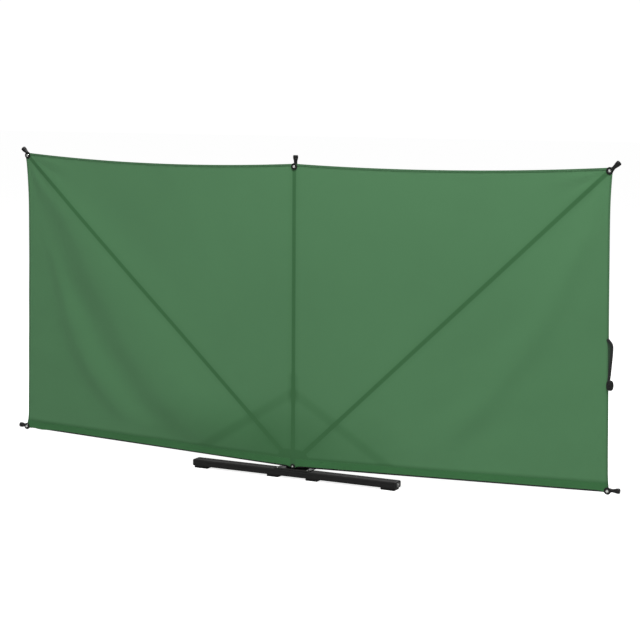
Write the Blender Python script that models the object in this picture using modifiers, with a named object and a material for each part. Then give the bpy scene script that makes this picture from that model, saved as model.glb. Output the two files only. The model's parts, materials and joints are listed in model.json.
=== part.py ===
"""A free-standing folding privacy screen: one cloth, about two to one, held taut by five arms.

Two arms lie almost level, two run to the upper corners and one stands upright. All of them meet at a
hub on a foot bar that stands on the ground. The four slanting arms turn on one pin and fold up beside
the upright arm, like a fan. Two struts, one on each lower arm, are led by a runner on the upright arm.

Metres. X runs across the screen, Y to its rear and Z up; the ground is at z = 0.
Every depth below is measured from the plane through the middle of the arms, towards the rear.
"""

import math

import bmesh
import bpy

# Overall sizes
EYELET_X = {"lower": 1.515, "diagonal": 1.485}  # middle of the screen to the eyelets of the slanting arms
EYELET_Z = {"lower": 0.1085, "diagonal": 1.474, "upright": 1.455}
BASE_EYELET_Z = 0.058  # eyelet at the foot of the cloth, over the saddle
GAP = 0.0003  # between pieces that touch

# Foot
PAD_HEIGHT = 0.010
BAR_HALF_LENGTH = 0.527
BAR_DEPTH = 0.060
BAR_HEIGHT = 0.031
CAP_THICKNESS = 0.006
PADS = {"end": (0.455, 0.525), "inner": (0.072, 0.132)}  # from the middle of the bar
PAD_HALF_DEPTH = 0.026
LEG_LENGTH = 0.40
LEG_WIDTH = 0.050
LEG_PAD = (0.066, 0.008)  # from the leg's end
LEG_PAD_HALF_WIDTH = 0.021
BAR_TOP = PAD_HEIGHT + BAR_HEIGHT
LEG_END = BAR_DEPTH / 2 + GAP + LEG_LENGTH + GAP + CAP_THICKNESS
SADDLE_HALF_LENGTH = 0.090
SADDLE_THICKNESS = 0.004
SADDLE_LEDGE = 0.010  # beyond the plate
POST_HALF_WIDTH = 0.003
POST_DEPTH = (-0.0100, -0.0040)
SADDLE_TOP = BAR_TOP + GAP + SADDLE_THICKNESS

# Arms, whose offset is their distance from the pin when all of them stand upright
PIN_Z = 0.1055
TUBE_RADIUS = 0.0085
OFFSETS = {"lower": 0.046, "diagonal": 0.024}
KNUCKLE_START = {"lower": 0.008, "diagonal": -0.008}
KNUCKLE_END = 0.050
LINK_BAND = {"lower": (-0.003, 0.0155), "diagonal": (-0.0065, 0.0065)}  # the lug's link to its block
LUG_RADIUS = 0.011
LUG_THICKNESS = 0.004
LUG_DEPTH = {("lower", -1): 0.0205, ("lower", 1): 0.0255, ("diagonal", -1): 0.0105, ("diagonal", 1): 0.0155}
PIN_RADIUS = 0.005
PIN_BORE = 0.0053
PIN_DEPTH = (0.0070, 0.0440)
PIN_HEAD_RADIUS = 0.009
PIN_HEAD_DEPTH = (0.0058, 0.0095)
PIN_NUT_END = 0.0430
PLATE_DEPTH = (0.0325, 0.0365)
PLATE_HALF_WIDTH = 0.060
PLATE_SHOULDER_Z = 0.128
PLATE_CHAMFER = 0.020
SOCKET_HALF_WIDTH = 0.010
SOCKET_Z = (PIN_Z + 0.023, PIN_Z + 0.060)

# Tips and eyelets
TIP_LENGTH = 0.052  # beyond the eyelet
TIP_SOCKET = 0.020  # behind the eyelet
TIP_RADII = {"socket": 0.0098, "neck": 0.0080, "head": 0.0118}
EYELET_RADIUS = 0.016
EYELET_HOLE = 0.008
PEG_RADIUS = 0.0065
BASE_EYELET_RADIUS = 0.012
BASE_EYELET_HOLE = 0.0065
BASE_PEG_RADIUS = 0.005
EYELET_DEPTH = (-0.0160, -0.0134)
PEG_FRONT = -0.0180
PEG_BACK = {"tip": -0.0020, "base": -0.0060}

# Cloth
CLOTH_DEPTH = (-0.0131, -0.0119)
CORNER_RADIUS = 0.013
HEM_DROP = 0.0035  # the cloth's lower edge under the axis of the lower arm
SIDE_INSET = {-1: 0.023, 1: 0.012}  # how far each side edge draws in between its corners
TOP_SAG = 0.025
SEAM = 0.0005  # half the gap between two panels
PANEL_FOOT_Z = 0.085  # where the panels come together over the hub

# Struts and runner
STRUT_ALONG = 0.53  # pivot, along the lower arm
STRUT_HALF_WIDTH = 0.006
STRUT_DEPTH = (0.0168, 0.0228)
STRUT_BORE = 0.0034
STRUT_PIN_RADIUS = 0.003
BRACKET_DEPTH = (TUBE_RADIUS + GAP, 0.0158)
BRACKET_HALF_WIDTH = 0.010
BRACKET_HALF_LENGTH = 0.016
RUNNER_PIVOT = (0.014, 0.400)  # distance from the middle, height
RUNNER_Z = (0.375, 0.475)
RUNNER_RADIUS = 0.0115
RUNNER_BORE = 0.0091
EAR_DEPTH = (0.0128, 0.0158)
EAR_HALF_HEIGHT = 0.010
EAR_MARGIN = 0.008  # beyond its pivots
WEB_HALF_WIDTH = 0.006

# Closing strap on the right edge
STRAP_EDGE = ((1.496, 0.769), (1.520, 0.748), (1.5235, 0.711), (1.517, 0.650), (1.511, 0.589), (1.499, 0.589))
STRAP_DEPTH = (-0.0165, -0.0140)
TOGGLE_Z = (0.544, 0.5885)
TOGGLE_X = (1.489, 1.525)
TOGGLE_DEPTH = (-0.0240, -0.0135)

Y_ARMS = -(LEG_END - BAR_DEPTH / 2) / 2  # puts the origin under the middle of the whole object
ROUND = 24  # sides of a round piece

for old in list(bpy.data.objects):
    bpy.data.objects.remove(old)
parts = bpy.data.collections.new("folding_privacy_screen")
cutters = bpy.data.collections.new("cutters")
bpy.context.scene.collection.children.link(parts)
bpy.context.scene.collection.children.link(cutters)


def material(name, colour, roughness, metallic=0.0):
    found = bpy.data.materials.new(name)
    found.use_nodes = True
    shader = found.node_tree.nodes["Principled BSDF"]
    shader.inputs["Base Color"].default_value = (*colour, 1.0)
    shader.inputs["Roughness"].default_value = roughness
    shader.inputs["Metallic"].default_value = metallic
    return found


CLOTH = material("green_cloth", (0.075, 0.185, 0.088), 0.75)
TUBE = material("black_coated_tube", (0.012, 0.012, 0.013), 0.4)
BAR = material("anthracite_bar", (0.035, 0.035, 0.036), 0.45)
PLASTIC = material("black_plastic", (0.010, 0.010, 0.010), 0.5)
GREY = material("grey_end_cap", (0.12, 0.12, 0.12), 0.5)
STEEL = material("zinc_steel", (0.42, 0.42, 0.41), 0.35, 1.0)
DARK_METAL = material("dark_eyelet", (0.03, 0.03, 0.03), 0.35, 1.0)
RUBBER = material("rubber", (0.008, 0.008, 0.008), 0.8)
WEBBING = material("webbing", (0.02, 0.02, 0.021), 0.8)


def empty(name, place, tilt=0.0, parent=None):
    """A frame to build in, turned by tilt about Y."""
    found = bpy.data.objects.new(name, None)
    found.location = place
    found.rotation_euler = (0.0, tilt, 0.0)
    found.parent = parent
    parts.objects.link(found)
    return found


def place(obj, parent, finish, where=(0.0, 0.0, 0.0)):
    obj.location = where
    obj.parent = parent
    obj.data.materials.append(finish)
    parts.objects.link(obj)
    return obj


def mesh_object(name, bm):
    mesh = bpy.data.meshes.new(name)
    bm.to_mesh(mesh)
    bm.free()
    return bpy.data.objects.new(name, mesh)


def box(name, parent, finish, x, depth, z, bevel=0.0):
    """A block between two values on each axis, its long edges rounded by a Bevel."""
    bm = bmesh.new()
    bmesh.ops.create_cube(bm, size=1.0)
    bmesh.ops.scale(bm, vec=(x[1] - x[0], depth[1] - depth[0], z[1] - z[0]), verts=bm.verts)
    centre = ((x[0] + x[1]) / 2, (depth[0] + depth[1]) / 2, (z[0] + z[1]) / 2)
    obj = place(mesh_object(name, bm), parent, finish, centre)
    if bevel:
        rounding = obj.modifiers.new("rounded_edges", "BEVEL")
        rounding.width = bevel
        rounding.segments = 2
    return obj


def rod(name, parent, finish, radius, z, x=0.0):
    """A round bar between two heights of its parent frame."""
    bm = bmesh.new()
    bmesh.ops.create_cone(
        bm, cap_ends=True, segments=ROUND, radius1=radius, radius2=radius, depth=z[1] - z[0]
    )
    obj = place(mesh_object(name, bm), parent, finish, (x, 0.0, (z[0] + z[1]) / 2))
    obj.data.shade_smooth()
    obj.data.set_sharp_from_angle(angle=math.radians(40))
    return obj


def pin(name, parent, finish, radius, depth, x=0.0, z=0.0):
    """A round bar across the screen, between two depths."""
    obj = rod(name, parent, finish, radius, depth, x)
    obj.rotation_euler = (-math.pi / 2, 0.0, 0.0)
    obj.location = (x, (depth[0] + depth[1]) / 2, z)
    return obj


def arc(centre, radius, start, end, steps):
    """Points on an arc, from one angle to another in degrees."""
    angles = (math.radians(start + (end - start) * i / steps) for i in range(steps + 1))
    return [(centre[0] + radius * math.cos(a), centre[1] + radius * math.sin(a)) for a in angles]


def circle(centre, radius):
    return arc(centre, radius, 0.0, 360.0 * (ROUND - 1) / ROUND, ROUND - 1)


def flat(name, parent, finish, outlines, depth):
    """A flat piece that stands in the plane of the screen: outlines filled and given a thickness."""
    curve = bpy.data.curves.new(name, "CURVE")
    curve.dimensions = "2D"
    curve.fill_mode = "BOTH"
    curve.extrude = (depth[1] - depth[0]) / 2
    for outline in outlines:
        spline = curve.splines.new("POLY")
        spline.points.add(len(outline) - 1)
        for point, (x, z) in zip(spline.points, outline):
            point.co = (x, z, 0.0, 1.0)
        spline.use_cyclic_u = True
    drawn = bpy.data.objects.new(name + "_outline", curve)
    parts.objects.link(drawn)
    evaluated = drawn.evaluated_get(bpy.context.evaluated_depsgraph_get())
    mesh = bpy.data.meshes.new_from_object(evaluated)
    bpy.data.objects.remove(drawn)
    bm = bmesh.new()
    bm.from_mesh(mesh)
    bmesh.ops.remove_doubles(bm, verts=bm.verts, dist=1e-6)
    bpy.data.meshes.remove(mesh)
    obj = place(mesh_object(name, bm), parent, finish, (0.0, (depth[0] + depth[1]) / 2, 0.0))
    obj.rotation_euler = (math.pi / 2, 0.0, 0.0)
    return obj


def turned(name, parent, finish, profile, where):
    """A round piece from a profile of (radius, height), listed from its top to its foot."""
    bm = bmesh.new()
    verts = [bm.verts.new((radius, 0.0, height)) for radius, height in profile]
    for upper, lower in zip(verts, verts[1:]):
        bm.edges.new((upper, lower))
    obj = place(mesh_object(name, bm), parent, finish, where)
    screw = obj.modifiers.new("turned", "SCREW")
    screw.axis = "Z"
    screw.steps = screw.render_steps = ROUND
    screw.use_merge_vertices = True
    screw.merge_threshold = 1e-5
    screw.use_smooth_shade = False
    return obj


def combine(piece, other, operation):
    """Joins the other piece to this one, or cuts it away, and keeps the other as a helper."""
    parts.objects.unlink(other)
    cutters.objects.link(other)
    other.hide_render = True
    other.display_type = "WIRE"
    change = piece.modifiers.new(other.name, "BOOLEAN")
    change.operation = operation
    change.object = other


def arm_pose(kind):
    """(lean from upright, distance along the arm to its eyelet) of a slanting arm at rest."""
    rise = EYELET_Z[kind] - PIN_Z
    reach = math.hypot(EYELET_X[kind], rise)
    lean = math.atan2(EYELET_X[kind], rise) - math.asin(OFFSETS[kind] / reach)
    return lean, math.sqrt(reach**2 - OFFSETS[kind] ** 2)


def arm_point(kind, along):
    """(distance from the middle, height) of a point on a slanting arm's axis at rest."""
    lean = arm_pose(kind)[0]
    offset = OFFSETS[kind]
    outward = offset * math.cos(lean) + along * math.sin(lean)
    return outward, PIN_Z - offset * math.sin(lean) + along * math.cos(lean)


def make_foot(stand):
    end = BAR_HALF_LENGTH
    half = BAR_DEPTH / 2
    over_pads = (PAD_HEIGHT, BAR_TOP)
    box("foot_bar", stand, BAR, (-end, end), (-half, half), over_pads, bevel=0.003)
    for side, word in ((-1, "left"), (1, "right")):
        span = sorted((side * (end + GAP), side * (end + GAP + CAP_THICKNESS)))
        box(f"foot_bar_{word}_cap", stand, GREY, span, (-half, half), over_pads, bevel=0.002)
        for where, (near, far) in PADS.items():
            span = sorted((side * near, side * far))
            name = f"foot_bar_{word}_{where}_pad"
            depth = (-PAD_HALF_DEPTH, PAD_HALF_DEPTH)
            box(name, stand, RUBBER, span, depth, (0.0, PAD_HEIGHT - GAP), bevel=0.0015)
    wide = LEG_WIDTH / 2
    start = half + GAP
    box("rear_leg", stand, BAR, (-wide, wide), (start, start + LEG_LENGTH), over_pads, bevel=0.003)
    cap = (LEG_END - CAP_THICKNESS, LEG_END)
    box("rear_leg_cap", stand, GREY, (-wide, wide), cap, over_pads, bevel=0.002)
    pad = [LEG_END - reach for reach in LEG_PAD]
    wide = LEG_PAD_HALF_WIDTH
    box("rear_leg_pad", stand, RUBBER, (-wide, wide), pad, (0.0, PAD_HEIGHT - GAP), bevel=0.0015)


def make_hub(stand):
    """The saddle on the bar with its post for the cloth, the plate that holds the pin, and the pin."""
    long = SADDLE_HALF_LENGTH
    depth = (-BAR_DEPTH / 2, PLATE_DEPTH[1] + SADDLE_LEDGE)
    saddle_z = (BAR_TOP + GAP, SADDLE_TOP)
    saddle = box("hub_saddle", stand, PLASTIC, (-long, long), depth, saddle_z, bevel=0.0010)
    post_z = (SADDLE_TOP - 0.002, BASE_EYELET_Z + BASE_PEG_RADIUS)
    post = box("hub_post", stand, PLASTIC, (-POST_HALF_WIDTH, POST_HALF_WIDTH), POST_DEPTH, post_z)
    peg = pin("hub_peg", stand, PLASTIC, BASE_PEG_RADIUS, (PEG_FRONT, PEG_BACK["base"]), z=BASE_EYELET_Z)
    combine(saddle, post, "UNION")
    combine(saddle, peg, "UNION")
    wide, shoulder, chamfer = PLATE_HALF_WIDTH, PLATE_SHOULDER_Z, PLATE_CHAMFER
    tongue = SOCKET_HALF_WIDTH + 0.002
    half_outline = [
        (wide, SADDLE_TOP + GAP),
        (wide, shoulder - chamfer),
        (wide - chamfer, shoulder),
        (tongue, shoulder),
        (tongue, SOCKET_Z[1]),
    ]
    outline = half_outline + [(-x, z) for x, z in reversed(half_outline)]
    flat("hub_plate", stand, PLASTIC, [outline, circle((0.0, PIN_Z), PIN_BORE)], PLATE_DEPTH)
    shaft = pin("hub_pin", stand, STEEL, PIN_RADIUS, PIN_DEPTH, z=PIN_Z)
    head = pin("hub_pin_head", stand, STEEL, PIN_HEAD_RADIUS, PIN_HEAD_DEPTH, z=PIN_Z)
    nut = pin("hub_pin_nut", stand, STEEL, PIN_HEAD_RADIUS, (PLATE_DEPTH[1] + GAP, PIN_NUT_END), z=PIN_Z)
    combine(shaft, head, "UNION")
    combine(shaft, nut, "UNION")


def make_tip(name, frame, x, eyelet_z):
    """A cap on the end of a tube, with the peg that holds the cloth, and the eyelet round the peg."""
    socket, neck, head = (TIP_RADII[part] for part in ("socket", "neck", "head"))
    profile = [
        (0.0, TIP_LENGTH),
        (head - 0.003, TIP_LENGTH),
        (head, TIP_LENGTH - 0.003),
        (head, TIP_LENGTH - 0.014),
        (neck, 0.022),
        (neck, 0.014),
        (socket, 0.009),
        (socket, -TIP_SOCKET),
        (0.0, -TIP_SOCKET),
    ]
    cap = turned(f"{name}_tip_cap", frame, PLASTIC, profile, (x, 0.0, eyelet_z))
    peg = pin(f"{name}_peg", frame, PLASTIC, PEG_RADIUS, (PEG_FRONT, PEG_BACK["tip"]), x, eyelet_z)
    combine(cap, peg, "UNION")
    rings = [circle((x, eyelet_z), EYELET_RADIUS), circle((x, eyelet_z), EYELET_HOLE)]
    flat(f"{name}_eyelet", frame, DARK_METAL, rings, EYELET_DEPTH)


def make_upright(stand):
    wide = SOCKET_HALF_WIDTH
    depth = (-TUBE_RADIUS, PLATE_DEPTH[0] - GAP)
    box("upright_socket", stand, PLASTIC, (-wide, wide), depth, SOCKET_Z, bevel=0.0015)
    span = (SOCKET_Z[1] + GAP, EYELET_Z["upright"] - TIP_SOCKET - GAP)
    rod("upright_tube", stand, TUBE, TUBE_RADIUS, span)
    make_tip("upright", stand, 0.0, EYELET_Z["upright"])
    base = (0.0, BASE_EYELET_Z)
    rings = [circle(base, BASE_EYELET_RADIUS), circle(base, BASE_EYELET_HOLE)]
    flat("base_eyelet", stand, DARK_METAL, rings, EYELET_DEPTH)


def make_arm(side, kind, frame):
    """One slanting arm, built upright beside the pin: knuckle, tube, tip and eyelet."""
    word = "left" if side < 0 else "right"
    name = f"{word}_{kind}"
    offset, depth = OFFSETS[kind], LUG_DEPTH[kind, side]
    lug_depth = (depth, depth + LUG_THICKNESS)
    near, far = offset - TUBE_RADIUS, offset + TUBE_RADIUS
    disc = [circle((0.0, 0.0), LUG_RADIUS), circle((0.0, 0.0), PIN_BORE)]
    lug = flat(f"{name}_knuckle", frame, PLASTIC, disc, lug_depth)
    inner = LUG_RADIUS * 0.8
    link_x = sorted((side * inner, side * (near + 0.004)))
    link = box(f"{name}_link", frame, PLASTIC, link_x, lug_depth, LINK_BAND[kind])
    block_x = sorted((side * near, side * far))
    block_depth = (-TUBE_RADIUS, depth + LUG_THICKNESS)
    span = (KNUCKLE_START[kind], KNUCKLE_END)
    block = box(f"{name}_block", frame, PLASTIC, block_x, block_depth, span, bevel=0.0015)
    combine(lug, link, "UNION")
    combine(lug, block, "UNION")
    eyelet = arm_pose(kind)[1]
    x = side * offset
    rod(f"{name}_tube", frame, TUBE, TUBE_RADIUS, (KNUCKLE_END + GAP, eyelet - TIP_SOCKET - GAP), x)
    make_tip(name, frame, x, eyelet)


def make_strut(side, frame):
    """The bracket on a lower arm and the strut that it carries, up to the runner."""
    word = "left" if side < 0 else "right"
    x = side * OFFSETS["lower"]
    span_x = (x - BRACKET_HALF_WIDTH, x + BRACKET_HALF_WIDTH)
    span_z = (STRUT_ALONG - BRACKET_HALF_LENGTH, STRUT_ALONG + BRACKET_HALF_LENGTH)
    bracket = box(f"{word}_strut_bracket", frame, PLASTIC, span_x, BRACKET_DEPTH, span_z, bevel=0.0012)
    depth = (BRACKET_DEPTH[1] - 0.003, STRUT_DEPTH[1] + 0.002)
    stub = pin(f"{word}_strut_pin", frame, PLASTIC, STRUT_PIN_RADIUS, depth, x, STRUT_ALONG)
    combine(bracket, stub, "UNION")
    out, height = arm_point("lower", STRUT_ALONG)
    across, rise = out - RUNNER_PIVOT[0], RUNNER_PIVOT[1] - height
    length, lean = math.hypot(across, rise), math.atan2(across, rise)
    arm_lean = arm_pose("lower")[0]
    pivot = empty(f"{word}_strut_pivot", (x, 0.0, STRUT_ALONG), -side * (lean + arm_lean), frame)
    half = STRUT_HALF_WIDTH
    outline = arc((0.0, 0.0), half, 180, 360, 12) + arc((0.0, length), half, 0, 180, 12)
    holes = [circle((0.0, 0.0), STRUT_BORE), circle((0.0, length), STRUT_BORE)]
    flat(f"{word}_strut", pivot, TUBE, [outline, *holes], STRUT_DEPTH)


def make_runner(stand):
    """A sleeve round the upright tube, with one ear behind it for the two struts."""
    bm = bmesh.new()
    bmesh.ops.create_cone(
        bm,
        cap_ends=True,
        segments=ROUND,
        radius1=RUNNER_RADIUS,
        radius2=RUNNER_RADIUS,
        depth=RUNNER_Z[1] - RUNNER_Z[0],
    )
    middle = (RUNNER_Z[0] + RUNNER_Z[1]) / 2
    runner = place(mesh_object("runner", bm), stand, PLASTIC, (0.0, 0.0, middle))
    out, height = RUNNER_PIVOT
    ear_z = (height - EAR_HALF_HEIGHT, height + EAR_HALF_HEIGHT)
    web_x = (-WEB_HALF_WIDTH, WEB_HALF_WIDTH)
    web = box("runner_web", stand, PLASTIC, web_x, (RUNNER_BORE, EAR_DEPTH[0] + 0.001), ear_z)
    wide = out + EAR_MARGIN
    ear = box("runner_ear", stand, PLASTIC, (-wide, wide), EAR_DEPTH, ear_z, bevel=0.0008)
    combine(runner, web, "UNION")
    combine(runner, ear, "UNION")
    bore_z = (RUNNER_Z[0] - 0.01, RUNNER_Z[1] + 0.01)
    combine(runner, rod("runner_bore", stand, PLASTIC, RUNNER_BORE, bore_z), "DIFFERENCE")


def diagonal_line(shift):
    """The diagonal arm's line from the corner down to the hub, moved across itself by shift."""
    lean = arm_pose("diagonal")[0]
    eyelet = arm_pose("diagonal")[1]
    points = (arm_point("diagonal", along) for along in (eyelet + CORNER_RADIUS, 0.030))
    return [(x - shift * math.cos(lean), z + shift * math.sin(lean)) for x, z in points]


def eyelet_place(kind):
    return EYELET_X[kind], EYELET_Z[kind]


def lower_outline(side):
    """The panel between the lower and the diagonal arm: (distance from the middle, height)."""
    (low_x, low_z), (top_x, top_z) = eyelet_place("lower"), eyelet_place("diagonal")
    slope = 1.0 / math.tan(arm_pose("lower")[0])
    foot = arc((0.0, BASE_EYELET_Z), BASE_EYELET_RADIUS - 0.0005, -87, -8, 6)
    hem = [(x, low_z - (low_x - x) * slope - HEM_DROP) for x in (0.02, low_x - 0.045)]
    corner = arc((low_x, low_z), CORNER_RADIUS, -90, 0, 6)
    edge, steps = [], 14
    for i in range(1, steps):
        t = i / steps
        x = low_x + t * (top_x - low_x) + CORNER_RADIUS - SIDE_INSET[side] * (1 - (2 * t - 1) ** 4)
        edge.append((x, low_z + t * (top_z - low_z)))
    top = arc((top_x, top_z), CORNER_RADIUS, 0, 35, 3)
    return [(SEAM, PANEL_FOOT_Z), *foot, *hem, *corner, *edge, *top, *diagonal_line(-SEAM)]


def upper_outline():
    """The panel between the diagonal and the upright arm."""
    (top_x, top_z), middle_z = eyelet_place("diagonal"), EYELET_Z["upright"]
    corner = arc((top_x, top_z), CORNER_RADIUS, 51, 90, 3)
    edge, steps = [], 14
    for i in range(1, steps):
        t = i / steps
        z = top_z + CORNER_RADIUS + t * (middle_z - top_z) - TOP_SAG * 4 * t * (1 - t)
        edge.append((top_x * (1 - t), z))
    end = [(SEAM, middle_z + CORNER_RADIUS), (SEAM, PANEL_FOOT_Z + 2 * SEAM)]
    return [*corner, *edge, *end, *reversed(diagonal_line(SEAM))]


def make_panel(side, kind, outline, eyelets, stand):
    """A thin flat stand-in for one quarter of the cloth, with holes for its eyelets' pegs."""
    word = "left" if side < 0 else "right"
    name = f"{word}_{kind}_cloth"
    panel = flat(name, stand, CLOTH, [[(side * x, z) for x, z in outline]], CLOTH_DEPTH)
    depth = (CLOTH_DEPTH[0] - 0.005, CLOTH_DEPTH[1] + 0.005)
    for i, (x, z, radius) in enumerate(eyelets):
        hole = pin(f"{name}_hole_{i}", stand, CLOTH, radius, depth, side * x, z)
        combine(panel, hole, "DIFFERENCE")


def make_cloth(stand):
    top = (*eyelet_place("diagonal"), EYELET_HOLE)
    middle = (0.0, EYELET_Z["upright"], EYELET_HOLE)
    low = (*eyelet_place("lower"), EYELET_HOLE)
    base = (0.0, BASE_EYELET_Z, BASE_EYELET_HOLE)
    for side in (-1, 1):
        make_panel(side, "lower", lower_outline(side), (top, low, base), stand)
        make_panel(side, "upper", upper_outline(), (top, middle), stand)


def make_closing_strap(stand):
    """A loop of webbing sewn to the right edge, with a toggle at its end, for the folded bundle."""
    flat("closing_strap", stand, WEBBING, [STRAP_EDGE], STRAP_DEPTH)
    box("strap_toggle", stand, PLASTIC, TOGGLE_X, TOGGLE_DEPTH, TOGGLE_Z, bevel=0.003)


stand_frame = empty("stand", (0.0, Y_ARMS, 0.0))
make_foot(stand_frame)
make_hub(stand_frame)
make_upright(stand_frame)
make_runner(stand_frame)
for arm_side in (-1, 1):
    for arm_kind in ("lower", "diagonal"):
        arm_word = "left" if arm_side < 0 else "right"
        tilt = arm_side * arm_pose(arm_kind)[0]
        arm_frame = empty(f"{arm_word}_{arm_kind}_pivot", (0.0, 0.0, PIN_Z), tilt, stand_frame)
        make_arm(arm_side, arm_kind, arm_frame)
        if arm_kind == "lower":
            make_strut(arm_side, arm_frame)
make_cloth(stand_frame)
make_closing_strap(stand_frame)
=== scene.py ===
"""The looks of the folding privacy screen: cloth, hems, stitches, arms, tips, foot and their finishes.

Every place is worked out from the frame: X runs across the screen, Y to its rear and Z up, in metres.
"""
import json
import math

import bmesh
import bpy
import numpy as np
from mathutils import Matrix, Vector


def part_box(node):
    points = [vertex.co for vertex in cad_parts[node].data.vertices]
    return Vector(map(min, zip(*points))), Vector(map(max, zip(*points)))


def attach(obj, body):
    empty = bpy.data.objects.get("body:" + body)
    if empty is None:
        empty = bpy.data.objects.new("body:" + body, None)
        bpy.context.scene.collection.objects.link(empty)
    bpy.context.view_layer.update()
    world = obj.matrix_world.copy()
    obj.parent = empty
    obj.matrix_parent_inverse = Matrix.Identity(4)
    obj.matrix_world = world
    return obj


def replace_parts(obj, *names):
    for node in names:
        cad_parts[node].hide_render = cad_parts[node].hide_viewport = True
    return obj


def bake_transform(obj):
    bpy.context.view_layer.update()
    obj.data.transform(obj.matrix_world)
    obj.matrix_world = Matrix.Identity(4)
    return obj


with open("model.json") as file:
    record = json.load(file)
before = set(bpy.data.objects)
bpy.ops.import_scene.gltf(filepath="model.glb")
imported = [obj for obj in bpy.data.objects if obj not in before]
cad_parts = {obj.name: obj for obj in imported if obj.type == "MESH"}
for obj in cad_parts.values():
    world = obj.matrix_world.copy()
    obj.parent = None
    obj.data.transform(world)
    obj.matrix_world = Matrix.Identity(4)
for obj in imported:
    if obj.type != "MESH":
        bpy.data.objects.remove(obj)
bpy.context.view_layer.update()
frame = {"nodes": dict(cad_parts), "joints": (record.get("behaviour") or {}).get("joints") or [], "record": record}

SIDES = {"left": -1.0, "right": 1.0}
NODES = frame["nodes"]
JOINTS = {joint["name"]: joint for joint in frame["joints"]}
BODY_OF = {node: body for body, nodes in frame["record"]["behaviour"]["bodies"].items() for node in nodes}
PIN = np.array(JOINTS["left_lower_arm_fold"]["pos_m"], float)
ARM_Y = PIN[1]
FOLD = {kind: math.radians(JOINTS[f"left_{kind}_arm_fold"]["range_deg"][1]) for kind in ("lower", "diagonal")}
ACROSS, BACK, UP = np.eye(3)


def low_high(node):
    """The lowest and highest corner of a CAD node as arrays."""
    low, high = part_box(node)
    return np.array(low, float), np.array(high, float)


def middle(node):
    """The middle of a CAD node's box."""
    return sum(low_high(node)) / 2


EYELETS = {
    name: middle(f"{name}_eyelet")
    for name in ("left_lower", "left_diagonal", "upright", "right_diagonal", "right_lower", "base")
}
LOWER_X, LOWER_Z = EYELETS["right_lower"][[0, 2]]
CORNER_X, CORNER_Z = EYELETS["right_diagonal"][[0, 2]]
UPRIGHT_Z = EYELETS["upright"][2]
BASE_Z = EYELETS["base"][2]
TUBE_RADIUS = (low_high("upright_tube")[1] - low_high("upright_tube")[0])[0] / 2
CLOTH_Y = low_high("left_lower_cloth")[0][1]

# Cloth
CLOTH_THICKNESS = 0.0007
CLOTH_RINGS = 116  # points along each ray from the cloth's foot to its outline
HEM_RISE = 0.0010  # the lower edge above the lower arm's axis: the tube shows below it as a dark line
EDGE_MARGIN = 0.013  # from an eyelet's middle to the edge above or beside it
SIDE_INSET = {-1.0: 0.0235, 1.0: 0.0115}  # how far a side edge draws in between its corners
INSET_START = {"lower": 0.022, "upper": 0.110}  # how soon the inset sets in above and below the corners
TOP_SAG = {-1.0: 0.0255, 1.0: 0.020}
CORNER_ROUND = 0.007
FLARES = (  # where the lower edge bellies down: (x, z, drop, reach)
    (EYELETS["left_lower"][0], LOWER_Z, 0.0110, 0.022),
    (EYELETS["right_lower"][0], LOWER_Z, 0.0125, 0.024),
    (0.0, BASE_Z, 0.0125, 0.018),
    (-1.430, LOWER_Z, 0.0085, 0.060),
)
RIPPLE = 0.0009  # height of the faint pleats that fan out from the hub
RIPPLE_REACH = 1.5  # distance from the hub at which a pleat has its full height
RIPPLE_START = 0.12  # half width of the quiet strip along the upright arm
PLEATS = 9
CREASE = 0.0016  # height of the short tension creases at the upper corners
CREASE_TURNS = 14
CREASE_BAND = (0.14, 0.09)  # distance of the creases from the eyelet, and how far they spread about it
RELIEF_LIMIT = 0.022
CALM_REACH = 0.05  # round an eyelet the cloth lies flat
FOLD_FOOT = 0.34  # the height over which a fold dies away at its foot
FOLD_HEAD = (0.05, 0.25)  # how far a fold starts above its first point, and how soon it has set in
FOLD_GROWTH = (0.35, 0.50)  # a fold's share of its height and width at its top, and the height it grows over

HEM_WIDTH = {"lower": 0.033, "side": 0.009, "top": 0.009}
HEM_LIFT = {"lower": 0.0006, "side": 0.0010, "top": 0.0014}  # front of each doubled edge before the cloth
HEM_INSIDE = 0.003  # the hems and stitches stop this far inside the cloth's edge
STITCH_PITCH = 0.0050
STITCH_SIZE = (0.0034, 0.0007, 0.0004)
STITCH_ENDS = 0.03  # of each edge, left without stitches
STITCH_CLEARANCE = 0.045  # from an eyelet's middle: the hem is riveted there, not sewn


# ---------------------------------------------------------------- arms


def arm_line(name):
    """(foot, direction) of an arm's axis at rest: the foot lies beside the pin by the arm's offset."""
    if name == "upright":
        return PIN * (0.0, 1.0, 1.0), UP
    word, kind = name.split("_")
    side, lean = SIDES[word], FOLD[kind]
    reach = EYELETS[name] - PIN
    offset = abs(reach[0]) * math.cos(lean) - reach[2] * math.sin(lean)
    foot = PIN + offset * np.array([side * math.cos(lean), 0.0, -math.sin(lean)])
    return foot, np.array([side * math.sin(lean), 0.0, math.cos(lean)])


ARMS = ("left_lower", "left_diagonal", "upright", "right_diagonal", "right_lower")
LINES = {name: arm_line(name) for name in ARMS}


def along(name, point):
    """How far along an arm's axis a point lies."""
    foot, direction = LINES[name]
    return float((np.asarray(point, float) - foot) @ direction)


def node_span(name, node):
    """Where a CAD node starts and ends along an arm's axis."""
    points = np.array([v.co for v in NODES[node].data.vertices], float)
    foot, direction = LINES[name]
    reached = (points - foot) @ direction
    return reached.min(), reached.max()


# ---------------------------------------------------------------- the cloth's outline and relief


def hem_height(x):
    """Height of the cloth's lower edge: a line beside the lower arm's axis, HEM_RISE above it."""
    foot, direction = LINES["right_lower"]
    return foot[2] + (np.abs(x) - foot[0]) * direction[2] / direction[0] + HEM_RISE


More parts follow.
